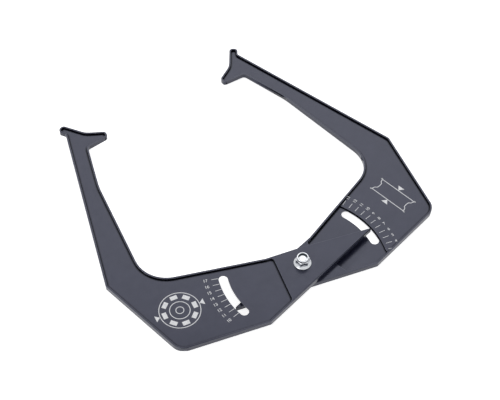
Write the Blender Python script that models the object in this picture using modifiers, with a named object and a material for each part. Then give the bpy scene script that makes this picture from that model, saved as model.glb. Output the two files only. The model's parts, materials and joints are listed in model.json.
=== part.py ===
# Rim width caliper: two moulded plastic arms, one laid on the other, on one carriage bolt.
# The arms are one moulding. The lower arm is the same moulding turned over, side to side.
# Each arm carries a pointer that sweeps the scale of the other arm.
# Metres, +Z up. The arms' line of symmetry is +Y, with the feet at +Y and the hinge at -Y.

import math

import bmesh
import bpy
from mathutils import Matrix, Vector

mm = 0.001

# Arm thickness and walls
arm_thickness = 6.5 * mm
rim_width = 2.0 * mm
pocket_depth = 1.3 * mm
scale_depth = 1.7 * mm
sweep_depth = 3.9 * mm
edge_round = 0.4 * mm
pad_gap = 0.3 * mm

# Pointer, and the window and sunk sector that it sweeps, about the hinge
pointer_corner = (100.1 * mm, -4.6 * mm)
pointer_shoulder = (13.3 * mm, 19.4 * mm)
tip_radius = 0.7 * mm
tip_clearance = 7.3 * mm
slot_ledge = 3.1 * mm
slot_width = 10.8 * mm
slot_start_angle = 69.2
slot_end_angle = 100.0

# Corners of the arm about the hinge, for the arm that lies on the -X side
inner_kink = (-32.0 * mm, 29.5 * mm)
inner_corner = (-167.2 * mm, 79.6 * mm)
inner_shaft_kink = (-140.3 * mm, 233.5 * mm)
foot_root = (-119.2 * mm, 297.6 * mm)
inner_toe_low = (-88.6 * mm, 299.2 * mm)
inner_toe_high = (-88.0 * mm, 307.4 * mm)
foot_hollow = (-109.9 * mm, 319.8 * mm)
outer_toe_high = (-128.6 * mm, 347.0 * mm)
outer_toe_low = (-137.8 * mm, 341.2 * mm)
foot_neck = (-131.9 * mm, 331.9 * mm)
outer_bend = (-209.1 * mm, 101.2 * mm)
outer_corner = (-185.0 * mm, -20.7 * mm)
heel_corner = (-77.1 * mm, -46.7 * mm)

# Corner radii of the arm
shoulder_radius = 40.0 * mm
kink_radius = 12.0 * mm
inner_corner_radius = 40.0 * mm
shaft_kink_radius = 60.0 * mm
foot_root_radius = 5.0 * mm
inner_toe_radius = 4.0 * mm
outer_toe_radius = 5.0 * mm
foot_hollow_radius = 22.0 * mm
neck_radius = 2.0 * mm
bend_radius = 4.0 * mm
outer_corner_radius = 18.0 * mm
heel_radius = 3.0 * mm

# Raised pad round the hinge: the pockets of both faces end at this slanted step
pad_step_reach = 29.9 * mm
pad_step_angle = 166.0
pad_corner_radius = 6.0 * mm

# Hinge bolt with a domed head and a square neck
bolt_diameter = 10.0 * mm
bolt_clearance = 0.3 * mm
head_diameter = 24.6 * mm
head_height = 5.2 * mm
head_edge = 1.2 * mm
neck_sink_share = 0.5
dome_rings = 8
neck_side = 10.2 * mm
neck_height = 4.2 * mm
bolt_end_chamfer = 0.8 * mm
bolt_end_below_nut_top = 2.6 * mm
seat_gap = 0.3 * mm

# Flanged lock nut with an insert ring
hex_turn = 38.0
flange_diameter = 21.0 * mm
flange_edge = 1.3 * mm
flange_rise = 1.4 * mm
nut_across_flats = 15.0 * mm
nut_hex_top = 8.8 * mm
nut_height = 12.0 * mm
collar_diameter = 14.4 * mm
collar_wall = 1.2 * mm
collar_lip = 0.7 * mm
collar_lip_reach = 0.4 * mm
collar_round = 0.9 * mm
collar_round_share = 0.25
hex_chamfer = 0.8 * mm
insert_height = 2.0 * mm
insert_gap = 0.25 * mm
insert_bore_clearance = 0.25 * mm

# How far a cutter runs past the faces that it cuts
overrun = 2.0 * mm

# Points closer than this are one point
weld_distance = 0.001 * mm

# Counts of facets, and the angles that make an edge sharp
arc_step_angle = 7.5
sweep_step_angle = 2.5
turned_steps = 48
smooth_angle = 30
rounded_edge_angle = 40

# Parts of a turn
right_angle = 90
half_turn = 180
full_turn = 360

# Sizes that follow from those above
arms_base = head_height + seat_gap
lower_arm_top = arms_base + arm_thickness
upper_arm_base = lower_arm_top + pad_gap
arms_top = upper_arm_base + arm_thickness
nut_base = arms_top + seat_gap
nut_top = nut_base + nut_height
shank_radius = bolt_diameter / 2
insert_base = nut_base + nut_height - collar_lip - insert_gap - insert_height


def polar(radius, degrees):
    angle = math.radians(degrees)
    return (radius * math.cos(angle), radius * math.sin(angle))


def unit_between(start, end):
    length = math.hypot(end[0] - start[0], end[1] - start[1])
    return ((end[0] - start[0]) / length, (end[1] - start[1]) / length)


def shifted_line(start, end, distance):
    # The line through two points, moved to its left by a distance, as a point and a direction
    along = unit_between(start, end)
    point = (start[0] - along[1] * distance, start[1] + along[0] * distance)
    return point, along


def meeting_point(first, second):
    (ax, ay), (dx, dy) = first
    (bx, by), (ex, ey) = second
    turn = dx * ey - dy * ex
    share = ((bx - ax) * ey - (by - ay) * ex) / turn
    return (ax + dx * share, ay + dy * share)


def round_corner(before, corner, after, radius):
    # Points of the arc that rounds a corner, or the corner alone where its radius is zero
    back = Vector(unit_between(corner, before))
    ahead = Vector(unit_between(corner, after))
    half_angle = back.angle(ahead) / 2
    reach = min(math.hypot(before[0] - corner[0], before[1] - corner[1]),
                math.hypot(after[0] - corner[0], after[1] - corner[1])) / 2
    radius = min(radius, reach * math.tan(half_angle))
    if radius <= 0:
        return [corner]
    centre = Vector(corner) + (back + ahead).normalized() * (radius / math.sin(half_angle))
    tangent = radius / math.tan(half_angle)
    start = Vector(corner) + back * tangent - centre
    end = Vector(corner) + ahead * tangent - centre
    turn = math.atan2(start.x * end.y - start.y * end.x, start.dot(end))
    count = max(1, round(abs(math.degrees(turn)) / arc_step_angle))
    points = []
    for step in range(count + 1):
        spoke = Matrix.Rotation(turn * step / count, 2) @ start
        points.append((centre.x + spoke.x, centre.y + spoke.y))
    return points


def rounded_loop(corners, insets):
    # Corners are (point, radius) in anticlockwise order. Each side is moved inwards by its
    # own inset, and each corner is rounded again to suit: tighter outside, wider inside.
    count = len(corners)
    lines = [shifted_line(corners[i][0], corners[(i + 1) % count][0], insets[i])
             for i in range(count)]
    places = [meeting_point(lines[i - 1], lines[i]) for i in range(count)]
    points = []
    for i in range(count):
        before, after = lines[i - 1][1], lines[i][1]
        convex = before[0] * after[1] - before[1] * after[0] > 0
        inset = (insets[i - 1] + insets[i]) / 2
        radius = max(corners[i][1] - inset, 0) if convex else corners[i][1] + inset
        points += round_corner(places[i - 1], places[i], places[(i + 1) % count], radius)
    return points


def arc_points(radius, start, end):
    # Points on a circle about the hinge, from one angle to another
    count = max(2, round(abs(end - start) / sweep_step_angle))
    return [polar(radius, start + (end - start) * i / count) for i in range(count + 1)]


def material(name, colour, roughness, metallic):
    made = bpy.data.materials.new(name)
    made.use_nodes = True
    shader = made.node_tree.nodes["Principled BSDF"]
    shader.inputs["Base Color"].default_value = (*colour, 1.0)
    shader.inputs["Roughness"].default_value = roughness
    shader.inputs["Metallic"].default_value = metallic
    return made


def flat_solid(name, points, bottom, top, collection):
    # A flat outline as a 2D curve, thickened, then turned into a welded mesh
    curve = bpy.data.curves.new(name, "CURVE")
    curve.dimensions = "2D"
    curve.fill_mode = "BOTH"
    curve.extrude = (top - bottom) / 2
    spline = curve.splines.new("POLY")
    spline.points.add(len(points) - 1)
    for point, (x, y) in zip(spline.points, points):
        point.co = (x, y, 0, 1)
    spline.use_cyclic_u = True
    guide = bpy.data.objects.new(name + "_outline", curve)
    guide.location = (0, 0, (top + bottom) / 2)
    collection.objects.link(guide)
    bpy.context.view_layer.update()
    graph = bpy.context.evaluated_depsgraph_get()
    mesh = bpy.data.meshes.new_from_object(guide.evaluated_get(graph))
    mesh.name = name
    mesh.transform(guide.matrix_world)
    weld(mesh)
    solid = bpy.data.objects.new(name, mesh)
    collection.objects.link(solid)
    bpy.data.objects.remove(guide)
    return solid


def weld(mesh):
    work = bmesh.new()
    work.from_mesh(mesh)
    bmesh.ops.remove_doubles(work, verts=work.verts, dist=weld_distance)
    bmesh.ops.recalc_face_normals(work, faces=work.faces)
    work.to_mesh(mesh)
    work.free()


def turned_solid(name, profile, collection):
    # A profile of (radius, height) points, run down its outer side, turned about the hinge
    mesh = bpy.data.meshes.new(name)
    points = [(radius, 0, height) for radius, height in profile]
    closed = profile[0][0] > 0
    edges = [(i, i + 1) for i in range(len(points) - 1)]
    if closed:
        edges.append((len(points) - 1, 0))
    mesh.from_pydata(points, edges, [])
    solid = bpy.data.objects.new(name, mesh)
    collection.objects.link(solid)
    screw = solid.modifiers.new("turn", "SCREW")
    screw.steps = turned_steps
    screw.render_steps = turned_steps
    screw.use_merge_vertices = True
    screw.merge_threshold = weld_distance
    return solid


def cutter_only(obj):
    obj.hide_render = True
    obj.display_type = "WIRE"


def join(target, other, operation, solver="EXACT"):
    # EXACT leaves open edges where the arm's cuts share walls, so those cuts use MANIFOLD
    cutter_only(other)
    step = target.modifiers.new(other.name, "BOOLEAN")
    step.operation = operation
    step.object = other
    step.solver = solver


def soften(target, width, segments):
    # Rounds the sharp edges that the cuts left
    edge = target.modifiers.new("edges", "BEVEL")
    edge.width = width
    edge.segments = segments
    edge.limit_method = "ANGLE"
    edge.angle_limit = math.radians(rounded_edge_angle)
    edge.use_clamp_overlap = True


def finish(obj, surface, collection):
    obj.data.materials.clear()
    obj.data.materials.append(surface)
    obj.data.shade_smooth()
    obj.data.set_sharp_from_angle(angle=math.radians(smooth_angle))


def arm_corners():
    # The arm's corners in anticlockwise order, each with its radius
    return [
        (pointer_corner, tip_radius),
        (pointer_shoulder, shoulder_radius),
        (inner_kink, kink_radius),
        (inner_corner, inner_corner_radius),
        (inner_shaft_kink, shaft_kink_radius),
        (foot_root, foot_root_radius),
        (inner_toe_low, inner_toe_radius),
        (inner_toe_high, inner_toe_radius),
        (foot_hollow, foot_hollow_radius),
        (outer_toe_high, outer_toe_radius),
        (outer_toe_low, outer_toe_radius),
        (foot_neck, neck_radius),
        (outer_bend, bend_radius),
        (outer_corner, outer_corner_radius),
        (heel_corner, heel_radius),
    ]


def pad_step_line():
    # The slanted step where the pad round the hinge ends, square to a spoke of the hinge
    spoke = polar(pad_step_reach, pad_step_angle)
    return spoke, (-spoke[1] / pad_step_reach, spoke[0] / pad_step_reach)


def pocket_points():
    # The pocket inside the rim, ended by the pad's step instead of by the pointer
    corners = arm_corners()
    tip, shoulder, kink, heel = corners[0][0], corners[1][0], corners[2][0], corners[-1][0]
    step = pad_step_line()
    on_outer = meeting_point(step, (heel, unit_between(heel, tip)))
    on_inner = meeting_point(step, (shoulder, unit_between(shoulder, kink)))
    pocket = [(on_outer, pad_corner_radius), (on_inner, pad_corner_radius)] + corners[2:]
    insets = [0.0] + [rim_width] * (len(pocket) - 1)
    return rounded_loop(pocket, insets)


def crossing(inside, outside, radius):
    # Where the way from a point inside a circle about the hinge to one outside it crosses it
    (px, py), (dx, dy) = inside, unit_between(inside, outside)
    ahead = px * dx + py * dy
    reach = -ahead + math.sqrt(ahead ** 2 - px ** 2 - py ** 2 + radius ** 2)
    return (px + dx * reach, py + dy * reach)


def sweep_points():
    # The sunk sector that the other pointer sweeps: the part of the pocket within its arc
    loop = pocket_points()
    near = [math.hypot(x, y) < sweep_radius for x, y in loop]
    first = next(i for i in range(len(loop)) if near[i] and not near[i - 1])
    turned = loop[first:] + loop[:first]
    kept = turned[:sum(near)]
    entry = crossing(kept[0], turned[-1], sweep_radius)
    leave = crossing(kept[-1], turned[len(kept)], sweep_radius)
    start, end = [math.degrees(math.atan2(y, x)) % full_turn for x, y in (leave, entry)]
    return kept + arc_points(sweep_radius, start, end)


def slot_points():
    # An arc-shaped window about the hinge, with half-round ends
    start, end = right_angle + slot_start_angle, right_angle + slot_end_angle
    middle = (slot_inner_radius + slot_outer_radius) / 2
    outer = arc_points(slot_outer_radius, start, end)
    inner = arc_points(slot_inner_radius, end, start)
    return outer + end_cap(middle, end, end) + inner + end_cap(middle, start, start + half_turn)


def end_cap(middle, place_angle, start_angle):
    # The inner points of a half circle that ends the slot
    centre = polar(middle, place_angle)
    count = round(half_turn / (2 * arc_step_angle))
    points = []
    for i in range(1, count):
        spoke = polar(slot_width / 2, start_angle + half_turn * i / count)
        points.append((centre[0] + spoke[0], centre[1] + spoke[1]))
    return points


def round_hole_points(diameter):
    return [polar(diameter / 2, full_turn * i / turned_steps) for i in range(turned_steps)]


def square_points(side):
    half = side / 2
    return [(half, -half), (half, half), (-half, half), (-half, -half)]


def build_arm(name, hole_points, surface):
    # One moulding: an outline with a raised rim, a pocket on each face and a sunk sector
    arm = flat_solid(name, arm_outline, 0, arm_thickness, parts)
    cuts = {
        "plain_pocket": (pocket_points(), arm_thickness - pocket_depth,
                         arm_thickness + overrun),
        "scale_pocket": (pocket_points(), -overrun, scale_depth),
        "sweep": (sweep_points(), -overrun, sweep_depth),
        "window": (slot_points(), -overrun, arm_thickness + overrun),
        "hinge_hole": (hole_points, -overrun, arm_thickness + overrun),
    }
    for cut_name, (points, bottom, top) in cuts.items():
        cutter = flat_solid(name + "_" + cut_name, points, bottom, top, cutters)
        cutter.parent = arm
        join(arm, cutter, "DIFFERENCE", "MANIFOLD")
    soften(arm, edge_round, 1)
    finish(arm, surface, parts)
    arm.parent = hinge
    return arm


def build_bolt(surface):
    # Carriage bolt: domed head below, square neck in the lower arm, round shank through both
    dome_height = head_height - head_edge
    head_radius = head_diameter / 2
    sphere_radius = (head_radius ** 2 + dome_height ** 2) / (2 * dome_height)
    top = nut_top - bolt_end_below_nut_top
    profile = [(0, top), (shank_radius - bolt_end_chamfer, top),
               (shank_radius, top - bolt_end_chamfer), (shank_radius, head_height),
               (head_radius, head_height)]
    for i in range(dome_rings + 1):
        radius = head_radius * (dome_rings - i) / dome_rings
        profile.append((radius, sphere_radius - math.sqrt(sphere_radius ** 2 - radius ** 2)))
    bolt = turned_solid("pivot_bolt", profile, parts)
    neck_top = arms_base + neck_height
    neck_base = head_height - head_edge * neck_sink_share
    neck = flat_solid("pivot_bolt_neck", square_points(neck_side), neck_base, neck_top, cutters)
    join(bolt, neck, "UNION")
    finish(bolt, surface, parts)
    bolt.parent = hinge
    neck.parent = hinge
    return bolt


def build_nut(surface):
    # Flanged lock nut: round flange, chamfered hexagon and a crimped collar for the insert
    flange_radius = flange_diameter / 2
    collar_radius = collar_diameter / 2
    flange_top = nut_base + flange_edge
    hex_top = nut_base + nut_hex_top
    collar_shoulder = collar_round * collar_round_share
    flange_profile = [
        (0, nut_top), (collar_radius - collar_round, nut_top),
        (collar_radius - collar_shoulder, nut_top - collar_shoulder),
        (collar_radius, nut_top - collar_round), (collar_radius, flange_top + flange_rise),
        (flange_radius, flange_top), (flange_radius, nut_base), (0, nut_base),
    ]
    nut = turned_solid("lock_nut", flange_profile, parts)
    corner_radius = nut_across_flats / math.sqrt(3)
    sides = 6
    hex_points = [polar(corner_radius, hex_turn + full_turn * i / sides) for i in range(sides)]
    hexagon = flat_solid("lock_nut_hexagon", hex_points, nut_base, hex_top, cutters)
    chamfer_radius = corner_radius + hex_chamfer
    chamfer_profile = [
        (0, hex_top + hex_chamfer), (nut_across_flats / 2 - hex_chamfer, hex_top + hex_chamfer),
        (chamfer_radius, hex_top - hex_chamfer), (chamfer_radius, nut_base), (0, nut_base),
    ]
    chamfer = turned_solid("lock_nut_chamfer", chamfer_profile, cutters)
    join(hexagon, chamfer, "INTERSECT")
    cavity_radius = collar_radius - collar_wall
    bore_radius = shank_radius + bolt_clearance
    lip_radius = cavity_radius - collar_lip_reach
    cavity_base = insert_base - insert_gap
    bore_profile = [
        (0, nut_top + overrun), (lip_radius, nut_top + overrun), (lip_radius, nut_top - collar_lip),
        (cavity_radius, nut_top - collar_lip), (cavity_radius, cavity_base),
        (bore_radius, cavity_base), (bore_radius, nut_base - overrun), (0, nut_base - overrun),
    ]
    bore = turned_solid("lock_nut_bore", bore_profile, cutters)
    join(nut, hexagon, "UNION")
    join(nut, bore, "DIFFERENCE")
    finish(nut, surface, parts)
    for piece in (nut, hexagon, chamfer, bore):
        piece.parent = hinge
    return nut


def build_insert(surface):
    # The plastic ring that grips the thread, held under the collar's lip
    outer = collar_diameter / 2 - collar_wall - insert_gap
    inner = shank_radius + insert_bore_clearance
    top = insert_base + insert_height
    profile = [(outer, top), (outer, insert_base), (inner, insert_base), (inner, top)]
    ring = turned_solid("nut_insert", profile, parts)
    finish(ring, surface, parts)
    ring.parent = hinge
    return ring


for old in list(bpy.data.objects):
    bpy.data.objects.remove(old)

parts = bpy.data.collections.new("rim_width_caliper")
cutters = bpy.data.collections.new("cutters")
bpy.context.scene.collection.children.link(parts)
bpy.context.scene.collection.children.link(cutters)

# The pointer's rounded tip sets the radius of the sunk sector, and that of the window in it
arm_outline = rounded_loop(arm_corners(), [0.0] * len(arm_corners()))
pointer_reach = max(math.hypot(x, y) for x, y in arm_outline if x > 0)
sweep_radius = pointer_reach + tip_clearance
slot_outer_radius = sweep_radius - slot_ledge
slot_inner_radius = slot_outer_radius - slot_width

# The hinge stands where the arms' outline is centred on the origin, front to back
outline_ys = [y for x, y in arm_outline]
hinge = bpy.data.objects.new("hinge", None)
hinge.location = (0, -(max(outline_ys) + min(outline_ys)) / 2, 0)
parts.objects.link(hinge)

black_plastic = material("black_plastic", (0.022, 0.023, 0.027), 0.38, 0.0)
bright_zinc = material("bright_zinc", (0.78, 0.79, 0.80), 0.28, 1.0)
grey_nylon = material("grey_nylon", (0.12, 0.15, 0.18), 0.5, 0.0)

upper_arm = build_arm("upper_arm", round_hole_points(bolt_diameter + 2 * bolt_clearance),
                      black_plastic)
upper_arm.location = (0, 0, upper_arm_base)

lower_arm = build_arm("lower_arm", square_points(neck_side + 2 * bolt_clearance), black_plastic)
lower_arm.location = (0, 0, lower_arm_top)
lower_arm.rotation_euler = (0, math.pi, 0)

build_bolt(bright_zinc)
build_nut(bright_zinc)
build_insert(grey_nylon)
bpy.context.view_layer.update()
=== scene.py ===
import json
import math

import bmesh
import bpy
from mathutils import Matrix, Vector


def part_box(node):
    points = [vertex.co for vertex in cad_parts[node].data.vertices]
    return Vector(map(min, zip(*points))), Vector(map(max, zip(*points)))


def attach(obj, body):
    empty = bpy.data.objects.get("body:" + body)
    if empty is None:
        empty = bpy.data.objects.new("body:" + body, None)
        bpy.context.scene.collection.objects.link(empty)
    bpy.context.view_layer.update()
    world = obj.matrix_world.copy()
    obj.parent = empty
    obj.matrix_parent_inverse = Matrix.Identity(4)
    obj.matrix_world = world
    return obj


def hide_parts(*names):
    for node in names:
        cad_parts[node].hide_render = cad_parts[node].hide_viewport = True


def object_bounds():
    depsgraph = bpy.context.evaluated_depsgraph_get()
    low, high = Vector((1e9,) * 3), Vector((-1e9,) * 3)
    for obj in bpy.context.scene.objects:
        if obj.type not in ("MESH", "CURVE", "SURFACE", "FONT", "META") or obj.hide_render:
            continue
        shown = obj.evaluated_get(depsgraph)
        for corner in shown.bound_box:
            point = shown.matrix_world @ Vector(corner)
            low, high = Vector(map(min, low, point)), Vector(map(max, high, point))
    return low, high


# Rim width caliper: two black moulded arms with white printed scales, on one zinc plated bolt.
# The scene is in metres. Sizes in the dictionaries are in millimetres, times mm.

mm = 0.001
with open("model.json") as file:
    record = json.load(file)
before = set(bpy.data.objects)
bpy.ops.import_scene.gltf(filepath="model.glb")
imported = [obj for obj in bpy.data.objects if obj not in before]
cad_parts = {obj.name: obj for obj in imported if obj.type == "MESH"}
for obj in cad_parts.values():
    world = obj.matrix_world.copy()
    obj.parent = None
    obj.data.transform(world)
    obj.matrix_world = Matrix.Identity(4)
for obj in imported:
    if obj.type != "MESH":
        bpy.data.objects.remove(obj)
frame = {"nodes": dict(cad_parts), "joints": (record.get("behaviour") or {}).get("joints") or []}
nodes = frame["nodes"]
cadLow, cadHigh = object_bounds()
scene = bpy.context.scene

hinge = Vector(frame["joints"][0]["pos_m"])
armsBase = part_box("lower_arm")[0].z
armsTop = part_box("upper_arm")[1].z
print("frame loaded")


# Materials

def newMaterial(name, colour, roughness, metallic=0.0):
    # A Principled material with its fixed values on the shader's own sockets
    made = bpy.data.materials.new(name)
    made.use_nodes = True
    shader = made.node_tree.nodes["Principled BSDF"]
    shader.inputs["Base Color"].default_value = (*colour, 1.0)
    shader.inputs["Roughness"].default_value = roughness
    shader.inputs["Metallic"].default_value = metallic
    return made, made.node_tree, shader


def noise(tree, scale, detail=3.0, stretch=(1.0, 1.0, 1.0)):
    # Noise on Object coordinates, whose unit is the metre
    place = tree.nodes.new("ShaderNodeTexCoord")
    mapping = tree.nodes.new("ShaderNodeMapping")
    mapping.inputs["Scale"].default_value = stretch
    texture = tree.nodes.new("ShaderNodeTexNoise")
    texture.inputs["Scale"].default_value = scale
    texture.inputs["Detail"].default_value = detail
    tree.links.new(place.outputs["Object"], mapping.inputs["Vector"])
    tree.links.new(mapping.outputs["Vector"], texture.inputs["Vector"])
    return texture.outputs["Fac"]


def spread(tree, value, low, high):
    # Noise values near the middle are spread between low and high
    ranger = tree.nodes.new("ShaderNodeMapRange")
    ranger.inputs["From Min"].default_value = 0.3
    ranger.inputs["From Max"].default_value = 0.7
    ranger.inputs["To Min"].default_value = low
    ranger.inputs["To Max"].default_value = high
    tree.links.new(value, ranger.inputs["Value"])
    return ranger.outputs["Result"]


def blendColours(tree, value, low, high):
    # low and high are colours, or low is another node's colour
    mixer = tree.nodes.new("ShaderNodeMix")
    mixer.data_type = "RGBA"
    first, second = [socket for socket in mixer.inputs if socket.type == "RGBA"]
    if isinstance(low, tuple):
        first.default_value = (*low, 1.0)
    else:
        tree.links.new(low, first)
    second.default_value = (*high, 1.0)
    tree.links.new(value, mixer.inputs["Factor"])
    return [socket for socket in mixer.outputs if socket.type == "RGBA"][0]


def bump(tree, shader, height, distance, strength=1.0):
    # Bumps are chained, so a second call adds to the first
    node = tree.nodes.new("ShaderNodeBump")
    node.inputs["Distance"].default_value = distance
    node.inputs["Strength"].default_value = strength
    tree.links.new(height, node.inputs["Height"])
    before = shader.inputs["Normal"].links
    if before:
        tree.links.new(before[0].from_socket, node.inputs["Normal"])
    tree.links.new(node.outputs["Normal"], shader.inputs["Normal"])


def closeness(tree, distance, inside, full, none):
    # 1 where the piece's own faces stand close by, outside in a corner or inside along an edge
    nearby = tree.nodes.new("ShaderNodeAmbientOcclusion")
    nearby.inputs["Distance"].default_value = distance
    nearby.only_local = True
    nearby.inside = inside
    nearby.samples = 12
    ranger = tree.nodes.new("ShaderNodeMapRange")
    ranger.inputs["From Min"].default_value = none
    ranger.inputs["From Max"].default_value = full
    tree.links.new(nearby.outputs["AO"], ranger.inputs["Value"])
    return ranger.outputs["Result"]


plastic = {
    "colour": (0.011, 0.012, 0.026),
    "worn": (0.015, 0.016, 0.033),
    # Colour of the painted highlight on convex edges and narrow rim tops
    "paintedEdgeHighlight": (0.050, 0.052, 0.075),
    # Colour of the painted shade in corners and along the feet of walls
    "paintedCornerShade": (0.002, 0.002, 0.004),
    "sheen": (0.80, 0.83, 1.0),
    "gloss": 0.5,
    # Specular level where the painted shade is full
    "paintedShadeGloss": 0.12,
    "roughness": (0.20, 0.27),
    # Reach and strength of the painted shade in corners
    "corner": {"distance": 3.5 * mm, "full": 0.72, "none": 0.92},
    # Reach and strength of the painted highlight along convex edges
    "edge": {"distance": 0.8 * mm, "full": 0.60, "none": 0.97},
    "grain": 2600.0,
    "flow": 38.0,
    "sink": 16.0,
}


def blackPlastic():
    made, tree, shader = newMaterial("blackPlastic", plastic["colour"], plastic["roughness"][0])
    shader.inputs["Specular Tint"].default_value = (*plastic["sheen"], 1.0)
    cloudy = spread(tree, noise(tree, plastic["flow"], 4.0, (1.0, 1.0, 3.0)), 0.0, 1.0)
    clouds = blendColours(tree, cloudy, plastic["colour"], plastic["worn"])
    # Painted highlight: convex edges and narrow rim tops are lightened, standing in for light
    # caught on their rounded edges
    edges = closeness(tree, plastic["edge"]["distance"], True, plastic["edge"]["full"],
                      plastic["edge"]["none"])
    paintedEdgeHighlight = blendColours(tree, edges, clouds, plastic["paintedEdgeHighlight"])
    # Painted shade: corners and the floor beside walls are darkened and their specular level
    # lowered, standing in for shade and blocked reflections
    corners = closeness(tree, plastic["corner"]["distance"], False, plastic["corner"]["full"],
                        plastic["corner"]["none"])
    paintedCornerShade = blendColours(tree, corners, paintedEdgeHighlight, plastic["paintedCornerShade"])
    tree.links.new(paintedCornerShade, shader.inputs["Base Color"])
    shadedSpecular = tree.nodes.new("ShaderNodeMapRange")
    shadedSpecular.inputs["To Min"].default_value = plastic["gloss"]
    shadedSpecular.inputs["To Max"].default_value = plastic["paintedShadeGloss"]
    tree.links.new(corners, shadedSpecular.inputs["Value"])
    tree.links.new(shadedSpecular.outputs["Result"], shader.inputs["Specular IOR Level"])
    patchy = spread(tree, noise(tree, 120.0, 5.0), *plastic["roughness"])
    tree.links.new(patchy, shader.inputs["Roughness"])
    bump(tree, shader, noise(tree, plastic["sink"], 1.0), 0.8 * mm, 0.25)
    bump(tree, shader, noise(tree, plastic["grain"], 2.0), 0.02 * mm, 0.5)
    return made


zinc = {"colour": (0.70, 0.72, 0.75), "dull": (0.56, 0.58, 0.61), "roughness": (0.16, 0.34)}


def brightZinc():
    made, tree, shader = newMaterial("brightZinc", zinc["colour"], zinc["roughness"][0], 1.0)
    mottled = spread(tree, noise(tree, 420.0, 4.0), 0.0, 1.0)
    tree.links.new(blendColours(tree, mottled, zinc["colour"], zinc["dull"]),
                   shader.inputs["Base Color"])
    tree.links.new(spread(tree, noise(tree, 900.0, 3.0), *zinc["roughness"]),
                   shader.inputs["Roughness"])
    bump(tree, shader, noise(tree, 1500.0, 2.0), 0.02 * mm, 0.4)
    return made


nylonLook = {"colour": (0.018, 0.030, 0.040), "dark": (0.014, 0.024, 0.032),
             "light": (0.024, 0.040, 0.052), "roughness": 0.42}


def darkNylon():
    made, tree, shader = newMaterial("darkNylon", nylonLook["colour"], nylonLook["roughness"])
    cloudy = spread(tree, noise(tree, 500.0), 0.0, 1.0)
    tree.links.new(blendColours(tree, cloudy, nylonLook["dark"], nylonLook["light"]),
                   shader.inputs["Base Color"])
    bump(tree, shader, noise(tree, 1200.0), 0.02 * mm, 0.4)
    return made


inkLook = {"colour": (0.80, 0.81, 0.83), "thin": (0.66, 0.67, 0.70),
           "full": (0.86, 0.87, 0.89), "roughness": 0.5}


def whiteInk():
    made, tree, shader = newMaterial("whiteInk", inkLook["colour"], inkLook["roughness"])
    thin = spread(tree, noise(tree, 700.0, 4.0), 0.0, 1.0)
    tree.links.new(blendColours(tree, thin, inkLook["thin"], inkLook["full"]),
                   shader.inputs["Base Color"])
    bump(tree, shader, noise(tree, 2600.0, 2.0), 0.01 * mm, 0.4)
    return made


black = blackPlastic()
metal = brightZinc()
nylon = darkNylon()
ink = whiteInk()
print("materials made")


# Helpers for pieces

mergeGap = 0.001 * mm  # corners closer than this become one
roundSteps = 96  # faces round the hinge's axis

def pieceFrom(bm, name, surface, body):
    # Turns a bmesh into a piece that rides on a CAD body
    mesh = bpy.data.meshes.new(name)
    bm.to_mesh(mesh)
    bm.free()
    mesh.materials.append(surface)
    piece = bpy.data.objects.new(name, mesh)
    scene.collection.objects.link(piece)
    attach(piece, body)
    return piece


def softShade(piece):
    # Smooth shading whose normals follow the large faces, so that narrow edges look round
    for polygon in piece.data.polygons:
        polygon.use_smooth = True
    weighted = piece.modifiers.new("weighted", "WEIGHTED_NORMAL")
    weighted.weight = 100
    weighted.keep_sharp = False


def turned(bm, profile, centre, closed=True):
    # A closed profile of (radius, height), turned once about the hinge's axis
    made = [bm.verts.new((centre.x + radius, centre.y, height)) for radius, height in profile]
    edges = [bm.edges.new((a, b)) for a, b in zip(made, made[1:])]
    if closed:
        edges.append(bm.edges.new((made[-1], made[0])))
    bmesh.ops.spin(bm, geom=made + edges, cent=centre, axis=(0, 0, 1), angle=2 * math.pi,
                   steps=roundSteps, use_merge=True)
    bmesh.ops.remove_doubles(bm, verts=bm.verts, dist=mergeGap)
    bmesh.ops.recalc_face_normals(bm, faces=bm.faces)


# Arms: copies of the CAD solids, with rounded rims, deeper floors and each window in its own place

armDress = {
    "upper_arm": {"name": "upperArm", "floor": 1.3 * mm, "web": 2.6 * mm, "deeper": 1.1 * mm,
                  "webDeeper": 1.1 * mm, "window": (90.0 * mm, 103.5 * mm),
                  "windowShift": (1.1 * mm, 0.05 * mm), "arcIn": 0.0},
    "lower_arm": {"name": "lowerArm", "floor": 1.7 * mm, "web": 3.9 * mm, "deeper": 0.9 * mm,
                  "webDeeper": 0.4 * mm, "window": (90.0 * mm, 103.5 * mm),
                  "windowShift": (0.85 * mm, 1.1 * mm), "arcIn": 1.7 * mm},
}

rounding = {"width": 0.75 * mm, "segments": 3, "sharpest": 60.0, "flattest": 0.5,
            "slack": 0.01 * mm}

# Where the window and the arc wall lie: below the rim, at the side of the hinge
sector = {"below": 0.1 * mm, "depth": 6.4 * mm, "turns": (60, 110), "arcReach": 106 * mm,
          "floorSlack": 0.05 * mm}

printLevels = {node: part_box(node)[1].z - plan["floor"] - plan["deeper"]
               for node, plan in armDress.items()}


def shiftFloors(bm, plan, top):
    # Sets the pocket's and the web's floors deeper, and moves the window and the arc wall
    for vert in bm.verts:
        away = Vector((vert.co.x - hinge.x, vert.co.y - hinge.y))
        reach = away.length
        turn = abs(math.degrees(math.atan2(away.x, away.y)))
        low, high = plan["window"]
        sunk = top - sector["depth"] < vert.co.z < top - sector["below"]
        inside = sunk and sector["turns"][0] < turn < sector["turns"][1]
        if inside and low < reach < high:
            vert.co.x += plan["windowShift"][0]
            vert.co.y += plan["windowShift"][1]
        elif inside and high < reach < sector["arcReach"] and plan["arcIn"]:
            away.length = plan["arcIn"]
            vert.co.x += plan["windowShift"][0] - away.x
            vert.co.y += plan["windowShift"][1] - away.y
        for level, extra in ((plan["floor"], plan["deeper"]), (plan["web"], plan["webDeeper"])):
            if abs(top - level - vert.co.z) < sector["floorSlack"]:
                vert.co.z -= extra
                break


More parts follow.
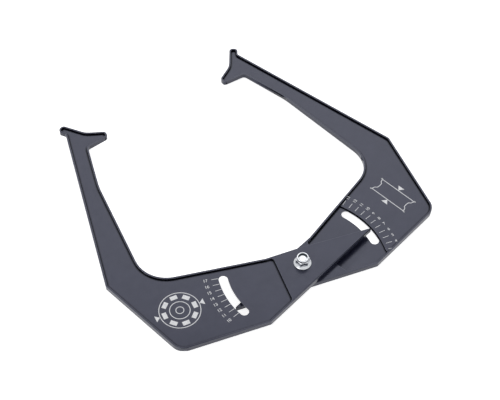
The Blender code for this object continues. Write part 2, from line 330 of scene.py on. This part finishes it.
def roundRims(bm, levels):
    # Bevels the edges of the highest and lowest faces
    chosen = []
    for edge in bm.edges:
        flat = all(min(abs(v.co.z - level) for level in levels) < rounding["slack"]
                   for v in edge.verts)
        if flat and len(edge.link_faces) == 2:
            if edge.calc_face_angle() > math.radians(rounding["sharpest"]):
                chosen.append(edge)
    bmesh.ops.bevel(bm, geom=chosen, offset=rounding["width"], segments=rounding["segments"],
                    profile=0.5, affect="EDGES", material=-1, clamp_overlap=False)


def dressArm(node):
    plan = armDress[node]
    low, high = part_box(node)
    bm = bmesh.new()
    bm.from_mesh(nodes[node].data)
    bmesh.ops.remove_doubles(bm, verts=bm.verts, dist=mergeGap)
    shiftFloors(bm, plan, high.z)
    bmesh.ops.dissolve_limit(bm, angle_limit=math.radians(rounding["flattest"]),
                             verts=bm.verts, edges=bm.edges)
    roundRims(bm, (low.z, high.z))
    arm = pieceFrom(bm, plan["name"], black, node + "_body")
    softShade(arm)
    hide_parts(node)
    return arm


dressArm("upper_arm")
dressArm("lower_arm")
print("arms dressed")


# Print: ink laid on the floors of the pockets

printed = {"thickness": 0.04 * mm, "line": 0.9 * mm, "tick": 0.6 * mm,
           "digit": 5.7 * mm, "boldness": 0.09 * mm}

diameterScale = {"first": 17, "labels": 8, "ticks": 8, "start": 67.74, "pitch": 4.37,
                 "inner": 101.6 * mm, "outer": 109.7 * mm, "labelRadius": 117.0 * mm,
                 "labelTurn": 0.2, "side": -1, "node": "upper_arm"}

widthScale = {"first": 13, "labels": 10, "ticks": 11, "start": 63.30, "pitch": 4.596,
              "inner": 107.9 * mm, "outer": 115.7 * mm, "labelRadius": 121.0 * mm,
              "labelTurn": 0.35, "side": 1, "node": "lower_arm"}


def spoke(plan, degrees, radius):
    # A place at an angle from +Y, towards the arm's own side
    angle = math.radians(degrees)
    return Vector((hinge.x + plan["side"] * radius * math.sin(angle),
                   hinge.y + radius * math.cos(angle), printLevels[plan["node"]]))


def laidOn(bm, faces=None):
    # Gives flat ink its thickness, upwards from the floor
    flat = list(bm.faces) if faces is None else faces
    raised = bmesh.ops.extrude_face_region(bm, geom=flat)
    verts = [item for item in raised["geom"] if isinstance(item, bmesh.types.BMVert)]
    bmesh.ops.translate(bm, vec=(0, 0, printed["thickness"]), verts=verts)
    bmesh.ops.recalc_face_normals(bm, faces=bm.faces)


def addTick(bm, plan, degrees):
    middle = spoke(plan, degrees, (plan["inner"] + plan["outer"]) / 2)
    turn = Matrix.Rotation(-plan["side"] * math.radians(degrees), 4, "Z")
    size = Matrix.Diagonal((printed["tick"], plan["outer"] - plan["inner"], 1, 1))
    bmesh.ops.create_grid(bm, x_segments=1, y_segments=1, size=0.5,
                          matrix=Matrix.Translation(middle) @ turn @ size)


def addNumber(bm, text, place, degrees):
    # A number as text, made a mesh before it is placed
    curve = bpy.data.curves.new("number", "FONT")
    curve.body = text
    curve.size = printed["digit"]
    curve.offset = printed["boldness"]
    curve.space_character = 0.95
    curve.align_x = "CENTER"
    curve.align_y = "CENTER"
    holder = bpy.data.objects.new("number", curve)
    scene.collection.objects.link(holder)
    bpy.context.view_layer.update()
    graph = bpy.context.evaluated_depsgraph_get()
    mesh = bpy.data.meshes.new_from_object(holder.evaluated_get(graph))
    mesh.transform(Matrix.Translation(place) @ Matrix.Rotation(math.radians(degrees), 4, "Z"))
    bm.from_mesh(mesh)
    bpy.data.objects.remove(holder)
    bpy.data.meshes.remove(mesh)


def printScale(name, plan):
    # Ticks on spokes of the hinge, and numbers that read along the spokes from left to right
    bm = bmesh.new()
    for i in range(plan["ticks"]):
        degrees = plan["start"] + plan["pitch"] * i
        addTick(bm, plan, degrees)
        if i < plan["labels"]:
            degrees += plan["labelTurn"]
            place = spoke(plan, degrees, plan["labelRadius"])
            addNumber(bm, str(plan["first"] - i), place, plan["side"] * (90 - degrees))
    bmesh.ops.remove_doubles(bm, verts=bm.verts, dist=mergeGap)
    laidOn(bm)
    return pieceFrom(bm, name, ink, plan["node"] + "_body")


printScale("diameterScalePrint", diameterScale)
printScale("widthScalePrint", widthScale)


wheelSign = {"centre": (-154.8 * mm, 26.3 * mm), "turn": -9.5,
             "rings": (24.7 * mm, 12.3 * mm, 5.1 * mm), "windows": 8,
             "windowRadius": 18.7 * mm, "window": (5.4 * mm, 8.6 * mm),
             "arrow": (5.4 * mm, 8.6 * mm)}

rimSign = {"centre": (157.1 * mm, 26.4 * mm), "turn": -78.35,
           "profile": ((0, 10.5), (27.3, 10.5), (25.2, 8.4), (25.0, 6.4), (23.8, 5.0),
                       (22.2, 3.8), (21.8, 0)),
           "lip": (2.2 * mm, 1.5 * mm), "lipPlace": (26.4 * mm, 10.6 * mm),
           "arrow": (6.0 * mm, 9.4 * mm)}


def addArrow(bm, tip, degrees, length, width):
    # A filled triangle whose tip points along an angle
    start = len(bm.verts)
    bmesh.ops.create_circle(bm, cap_ends=True, segments=3, radius=1)
    verts = list(bm.verts)[start:]
    stretch = Matrix.Diagonal((length / 1.5, width / math.sqrt(3), 1, 1))
    ends = Matrix.Translation((-length / 1.5, 0, 0))
    lined = Matrix.Rotation(math.radians(-90), 4, "Z")
    turn = Matrix.Rotation(math.radians(degrees), 4, "Z")
    bmesh.ops.transform(bm, verts=verts,
                        matrix=Matrix.Translation(tip) @ turn @ ends @ stretch @ lined)


def keepOutline(bm, face, width):
    # Leaves a line of even width round a flat face
    bmesh.ops.inset_region(bm, faces=[face], thickness=width, use_boundary=True,
                           use_even_offset=True)
    bmesh.ops.delete(bm, geom=[face], context="FACES_ONLY")


def printWheelSign():
    plan = wheelSign
    centre = Vector((hinge.x + plan["centre"][0], hinge.y + plan["centre"][1],
                     printLevels["upper_arm"]))
    bm = bmesh.new()
    for radius in plan["rings"]:
        bmesh.ops.create_circle(bm, cap_ends=True, segments=96, radius=radius)
        bm.faces.ensure_lookup_table()
        keepOutline(bm, bm.faces[-1], printed["line"])
    for i in range(plan["windows"]):
        around = Matrix.Rotation(math.radians(plan["turn"] + 360 * i / plan["windows"]), 4, "Z")
        out = Matrix.Translation((plan["windowRadius"], 0, 0))
        size = Matrix.Diagonal((*plan["window"], 1, 1))
        bmesh.ops.create_grid(bm, x_segments=1, y_segments=1, size=0.5,
                              matrix=around @ out @ size)
    for half in (0, 180):
        angle = math.radians(plan["turn"] + half)
        tip = Vector((math.cos(angle), math.sin(angle), 0)) * plan["rings"][0]
        addArrow(bm, tip, plan["turn"] + half + 180, *plan["arrow"])
    bmesh.ops.translate(bm, vec=centre, verts=bm.verts)
    laidOn(bm)
    return pieceFrom(bm, "wheelSignPrint", ink, "upper_arm_body")


def printRimSign():
    plan = rimSign
    centre = Vector((hinge.x + plan["centre"][0], hinge.y + plan["centre"][1],
                     printLevels["lower_arm"]))
    bm = bmesh.new()
    corners = [bm.verts.new((along * mm, across * mm, 0)) for along, across in plan["profile"]]
    for a, b in zip(corners, corners[1:]):
        bm.edges.new((a, b))
    for axis in ("X", "Y"):
        bmesh.ops.mirror(bm, geom=list(bm.verts) + list(bm.edges), axis=axis, merge_dist=0.01 * mm)
    bmesh.ops.remove_doubles(bm, verts=bm.verts, dist=0.01 * mm)
    bmesh.ops.edgenet_fill(bm, edges=bm.edges)
    bm.faces.ensure_lookup_table()
    keepOutline(bm, bm.faces[0], printed["line"])
    lipOut, lipUp = plan["lipPlace"]
    size = Matrix.Diagonal((*plan["lip"], 1, 1))
    for along in (-1, 1):
        for across in (-1, 1):
            place = Matrix.Translation((along * lipOut, across * lipUp, 0))
            bmesh.ops.create_grid(bm, x_segments=1, y_segments=1, size=0.5, matrix=place @ size)
    edge = plan["profile"][0][1] * mm
    addArrow(bm, (0, edge, 0), -90, *plan["arrow"])
    addArrow(bm, (0, -edge, 0), 90, *plan["arrow"])
    turn = Matrix.Rotation(math.radians(plan["turn"]), 4, "Z")
    bmesh.ops.transform(bm, verts=bm.verts, matrix=Matrix.Translation(centre) @ turn)
    laidOn(bm)
    return pieceFrom(bm, "rimSignPrint", ink, "lower_arm_body")


printWheelSign()
printRimSign()
print("scales and signs printed")


# Nut: round flange, hexagon and rolled collar

nutPlan = {"flange": 10.5 * mm, "edge": 1.3 * mm, "flats": 15.0 * mm, "hexTop": 8.8 * mm,
           "chamfer": 0.9 * mm, "collar": 7.2 * mm, "lip": 5.6 * mm, "bore": 5.3 * mm,
           "turn": 38.0, "under": 0.3 * mm, "rim": (0.35 * mm, 0.45 * mm), "inset": 0.15 * mm,
           "collarFoot": 0.2 * mm, "neckTop": 1.0 * mm, "corner": 0.3 * mm, "margin": 1.0 * mm,
           "domeDrop": 1.9, "domeIn": 0.25 * mm}

# Out from the neck and up from the flange; in from the collar or the lip and down from the top
nutSweep = ((1.2 * mm, 0.75 * mm), (0.5 * mm, 1.0 * mm), (0, 1.6 * mm))
nutCrimp = ((0, 1.1 * mm), (0.2 * mm, 0.5 * mm), (0.6 * mm, 0.12 * mm), (1.0 * mm, 0))
nutMouth = ((0.15 * mm, 0.08 * mm), (0, 0.3 * mm), (0.1 * mm, 0.6 * mm), (0.4 * mm, 0.8 * mm),
            (0.4 * mm, 3.4 * mm))


def buildNut():
    low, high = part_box("lock_nut")
    base, top = low.z, high.z
    axis = Vector((hinge.x, hinge.y, 0))
    plan = nutPlan
    flange, edge = plan["flange"], plan["edge"]
    neck = plan["flats"] / 2 - plan["inset"]
    hexTop = base + plan["hexTop"]
    under, (rimIn, rimDown) = plan["under"], plan["rim"]
    profile = [(plan["bore"], base), (flange - under, base), (flange, base + under),
               (flange, base + edge - rimDown), (flange - rimIn, base + edge)]
    profile += [(neck + out, base + edge + up) for out, up in nutSweep]
    profile += [(neck, hexTop - plan["neckTop"]), (plan["collar"], hexTop - plan["collarFoot"])]
    profile += [(plan["collar"] - inward, top - down) for inward, down in nutCrimp]
    profile += [(plan["lip"] + out, top - down) for out, down in nutMouth]
    profile.append((plan["bore"], top - nutMouth[-1][1]))
    bm = bmesh.new()
    turned(bm, profile, axis)
    hexagon = bmesh.new()
    corner = plan["flats"] / math.sqrt(3)
    height = plan["hexTop"] - edge * 0.5
    centre = Vector((hinge.x, hinge.y, base + edge * 0.5 + height / 2))
    turn = Matrix.Rotation(math.radians(plan["turn"] + 90), 4, "Z")
    bmesh.ops.create_cone(hexagon, cap_ends=True, segments=6, radius1=corner, radius2=corner,
                          depth=height, matrix=Matrix.Translation(centre) @ turn)
    upright = [e for e in hexagon.edges if abs(e.verts[0].co.z - e.verts[1].co.z) > height / 2]
    bmesh.ops.bevel(hexagon, geom=upright, offset=plan["corner"], segments=3, profile=0.5,
                    affect="EDGES", material=-1)
    dome = bmesh.new()
    reach = corner + plan["margin"]
    shoulder = hexTop - plan["chamfer"] * plan["domeDrop"]
    turned(dome, [(0, base), (reach, base), (reach, shoulder),
                  (plan["flats"] / 2 - plan["domeIn"], hexTop), (0, hexTop)], axis, closed=False)
    nutHexagon = meshOnly(hexagon, "nutHexagon")
    nutDome = meshOnly(dome, "nutDome")
    cut = nutHexagon.modifiers.new("chamfer", "BOOLEAN")
    cut.operation = "INTERSECT"
    cut.solver = "EXACT"
    cut.object = nutDome
    bpy.context.view_layer.update()
    shaped = bpy.data.meshes.new_from_object(
        nutHexagon.evaluated_get(bpy.context.evaluated_depsgraph_get()))
    bm.from_mesh(shaped)
    bpy.data.objects.remove(nutHexagon)
    bpy.data.objects.remove(nutDome)
    nut = pieceFrom(bm, "flangedLockNut", metal, "lower_arm_body")
    shadeByAngle(nut, 32)
    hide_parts("lock_nut")
    return nut


def meshOnly(bm, name):
    mesh = bpy.data.meshes.new(name)
    bm.to_mesh(mesh)
    bm.free()
    made = bpy.data.objects.new(name, mesh)
    scene.collection.objects.link(made)
    return made


def shadeByAngle(piece, degrees):
    piece.data.shade_smooth()
    piece.data.set_sharp_from_angle(angle=math.radians(degrees))


# Bolt: domed head and square neck below, threaded end in the nut

boltPlan = {"radius": 5.0 * mm, "head": 12.3 * mm, "headHeight": 5.2 * mm, "headEdge": 1.0 * mm,
            "neck": 10.2 * mm, "neckHeight": 4.0 * mm, "neckSunk": 0.5 * mm, "neckShort": 0.6 * mm,
            "domeSteps": 24, "pitch": 1.5 * mm, "depth": 0.85 * mm, "threadSteps": 48,
            "tooth": (0.0, 0.42, 0.55, 0.97), "toothIn": 0.1 * mm}


def buildBolt():
    low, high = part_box("pivot_bolt")
    plan = boltPlan
    axis = Vector((hinge.x, hinge.y, 0))
    root = plan["radius"] - plan["depth"]
    under = low.z + plan["headHeight"]
    dome = plan["headHeight"] - plan["headEdge"]
    sphere = (plan["head"] ** 2 + dome ** 2) / (2 * dome)
    start = under + plan["neckHeight"]
    profile = [(0, high.z), (root - 0.4 * mm, high.z), (root, high.z - 0.4 * mm), (root, start),
               (plan["radius"] - 0.05 * mm, start - 0.4 * mm), (plan["radius"] - 0.05 * mm, under),
               (plan["head"] - 0.3 * mm, under), (plan["head"], under - 0.3 * mm)]
    for i in range(plan["domeSteps"] + 1):
        radius = plan["head"] * (plan["domeSteps"] - i) / plan["domeSteps"]
        profile.append((radius, low.z + sphere - math.sqrt(sphere ** 2 - radius ** 2)))
    bm = bmesh.new()
    turned(bm, profile, axis, closed=False)
    neckHeight = plan["neckHeight"] + plan["neckSunk"] - plan["neckShort"]
    centre = Vector((hinge.x, hinge.y, under - plan["neckSunk"] + neckHeight / 2))
    size = Matrix.Diagonal((plan["neck"], plan["neck"], neckHeight, 1))
    bmesh.ops.create_cube(bm, size=1, matrix=Matrix.Translation(centre) @ size)
    thread = bmesh.new()
    turns = math.floor((high.z - start) / plan["pitch"] - 1)
    steps = plan["threadSteps"]
    bottom, crest = root - plan["toothIn"], plan["radius"] - plan["toothIn"]
    tooth = zip((bottom, crest, crest, bottom), plan["tooth"])
    verts = [thread.verts.new((hinge.x + radius, hinge.y, start + share * plan["pitch"]))
             for radius, share in tooth]
    edges = [thread.edges.new((a, b)) for a, b in zip(verts, verts[1:] + verts[:1])]
    caps = thread.faces.new(verts)
    bmesh.ops.spin(thread, geom=[*verts, *edges, caps], cent=axis, axis=(0, 0, 1),
                   dvec=(0, 0, plan["pitch"] / steps), angle=2 * math.pi * turns,
                   steps=steps * turns)
    bmesh.ops.remove_doubles(thread, verts=thread.verts, dist=mergeGap)
    bmesh.ops.recalc_face_normals(thread, faces=thread.faces)
    helix = bpy.data.meshes.new("helix")
    thread.to_mesh(helix)
    thread.free()
    bm.from_mesh(helix)
    bolt = pieceFrom(bm, "pivotBolt", metal, "lower_arm_body")
    shadeByAngle(bolt, 35)
    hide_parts("pivot_bolt")
    return bolt


insertPlan = {"clear": 0.2 * mm, "rim": 0.3 * mm, "mouth": 0.4 * mm}


def buildInsert():
    low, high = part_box("nut_insert")
    outer = (high.x - low.x) / 2
    inner = boltPlan["radius"] + insertPlan["clear"]
    rim, mouth = insertPlan["rim"], insertPlan["mouth"]
    profile = [(inner, low.z), (outer, low.z), (outer, high.z - rim), (outer - rim, high.z),
               (inner + mouth, high.z), (inner, high.z - mouth)]
    bm = bmesh.new()
    turned(bm, profile, Vector((hinge.x, hinge.y, 0)))
    ring = pieceFrom(bm, "nutInsert", nylon, "lower_arm_body")
    shadeByAngle(ring, 35)
    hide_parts("nut_insert")
    return ring


buildNut()
buildBolt()
buildInsert()
print("bolt and nut built")


# Floor, light and camera

photo = {"width": 500, "height": 400, "focal": 1349.4, "elevation": 51.82, "azimuth": -34.89,
         "roll": 0.66, "hingeAt": (302.49, 263.01), "pixel": 1.18 * mm}

ground = {"reach": 6.0, "colour": (0.93, 0.93, 0.93), "roughness": 0.9, "gloss": 0.1, "glow": 0.8}


def seenDirectly(tree):
    # 1 for rays from the camera, and for those that gloss and glass send on
    rays = tree.nodes.new("ShaderNodeLightPath")
    value = rays.outputs["Is Camera Ray"]
    for kind in ("Is Glossy Ray", "Is Transmission Ray"):
        larger = tree.nodes.new("ShaderNodeMath")
        larger.operation = "MAXIMUM"
        tree.links.new(value, larger.inputs[0])
        tree.links.new(rays.outputs[kind], larger.inputs[1])
        value = larger.outputs["Value"]
    return value


def buildFloor():
    bm = bmesh.new()
    bmesh.ops.create_grid(bm, x_segments=1, y_segments=1, size=ground["reach"])
    bmesh.ops.translate(bm, vec=(0, 0, cadLow.z), verts=bm.verts)
    mesh = bpy.data.meshes.new("floor")
    bm.to_mesh(mesh)
    bm.free()
    floor = bpy.data.objects.new("floor", mesh)
    scene.collection.objects.link(floor)
    made, tree, shader = newMaterial("paleFloor", ground["colour"], ground["roughness"])
    shader.inputs["Specular IOR Level"].default_value = ground["gloss"]
    glow = tree.nodes.new("ShaderNodeMath")
    glow.operation = "MULTIPLY"
    glow.inputs[1].default_value = ground["glow"]
    tree.links.new(seenDirectly(tree), glow.inputs[0])
    shader.inputs["Emission Color"].default_value = (1, 1, 1, 1)
    tree.links.new(glow.outputs["Value"], shader.inputs["Emission Strength"])
    mesh.materials.append(made)


studio = {"light": 0.6, "backdrop": 1.0}


def buildWorld():
    # Dim for the light that it gives, white where it is seen
    world = bpy.data.worlds.new("studio")
    scene.world = world
    world.use_nodes = True
    tree = world.node_tree
    tree.nodes.clear()
    mixer = tree.nodes.new("ShaderNodeMixShader")
    tree.links.new(seenDirectly(tree), mixer.inputs["Fac"])
    for slot, strength in ((1, studio["light"]), (2, studio["backdrop"])):
        background = tree.nodes.new("ShaderNodeBackground")
        background.inputs["Color"].default_value = (1, 1, 1, 1)
        background.inputs["Strength"].default_value = strength
        tree.links.new(background.outputs["Background"], mixer.inputs[slot])
    out = tree.nodes.new("ShaderNodeOutputWorld")
    tree.links.new(mixer.outputs["Shader"], out.inputs["Surface"])


softboxes = {
    "overhead": {"place": (0.55, 0.75, 1.1), "size": (1.1, 0.9), "watts": 4.5},
    "side": {"place": (-1.3, -0.2, 1.0), "size": (0.9, 0.9), "watts": 4.0},
}


def buildLights():
    target = Vector((0, 0, armsTop))
    for name, plan in softboxes.items():
        data = bpy.data.lights.new(name, "AREA")
        data.shape = "RECTANGLE"
        data.size, data.size_y = plan["size"]
        data.energy = plan["watts"]
        lamp = bpy.data.objects.new(name, data)
        lamp.location = plan["place"]
        lamp.rotation_mode = "QUATERNION"
        lamp.rotation_quaternion = (target - lamp.location).to_track_quat("-Z", "Y")
        scene.collection.objects.link(lamp)


def buildCamera():
    # The hinge falls on its own pixel, and one pixel there is one named size
    turn = math.radians(photo["azimuth"])
    down = math.radians(photo["elevation"])
    lean = math.radians(photo["roll"])
    level = Vector((-math.sin(turn), math.cos(turn), 0))
    right = Vector((level.y, -level.x, 0))
    forward = level * math.cos(down) - Vector((0, 0, math.sin(down)))
    up = level * math.sin(down) + Vector((0, 0, math.cos(down)))
    leanRight = right * math.cos(lean) + up * math.sin(lean)
    leanUp = up * math.cos(lean) - right * math.sin(lean)
    seen = Vector((hinge.x, hinge.y, armsTop))
    across = (photo["hingeAt"][0] - photo["width"] / 2) * photo["pixel"]
    above = (photo["height"] / 2 - photo["hingeAt"][1]) * photo["pixel"]
    place = seen - forward * photo["focal"] * photo["pixel"] - leanRight * across - leanUp * above
    data = bpy.data.cameras.new("camera")
    data.sensor_width = 36.0
    data.lens = photo["focal"] / photo["width"] * data.sensor_width
    camera = bpy.data.objects.new("camera", data)
    axes = Matrix((leanRight, leanUp, -forward)).transposed()
    camera.matrix_world = Matrix.Translation(place) @ axes.to_4x4()
    scene.collection.objects.link(camera)
    scene.camera = camera


buildFloor()
buildWorld()
buildLights()
buildCamera()
scene.view_settings.view_transform = "Standard"
print("stage set")
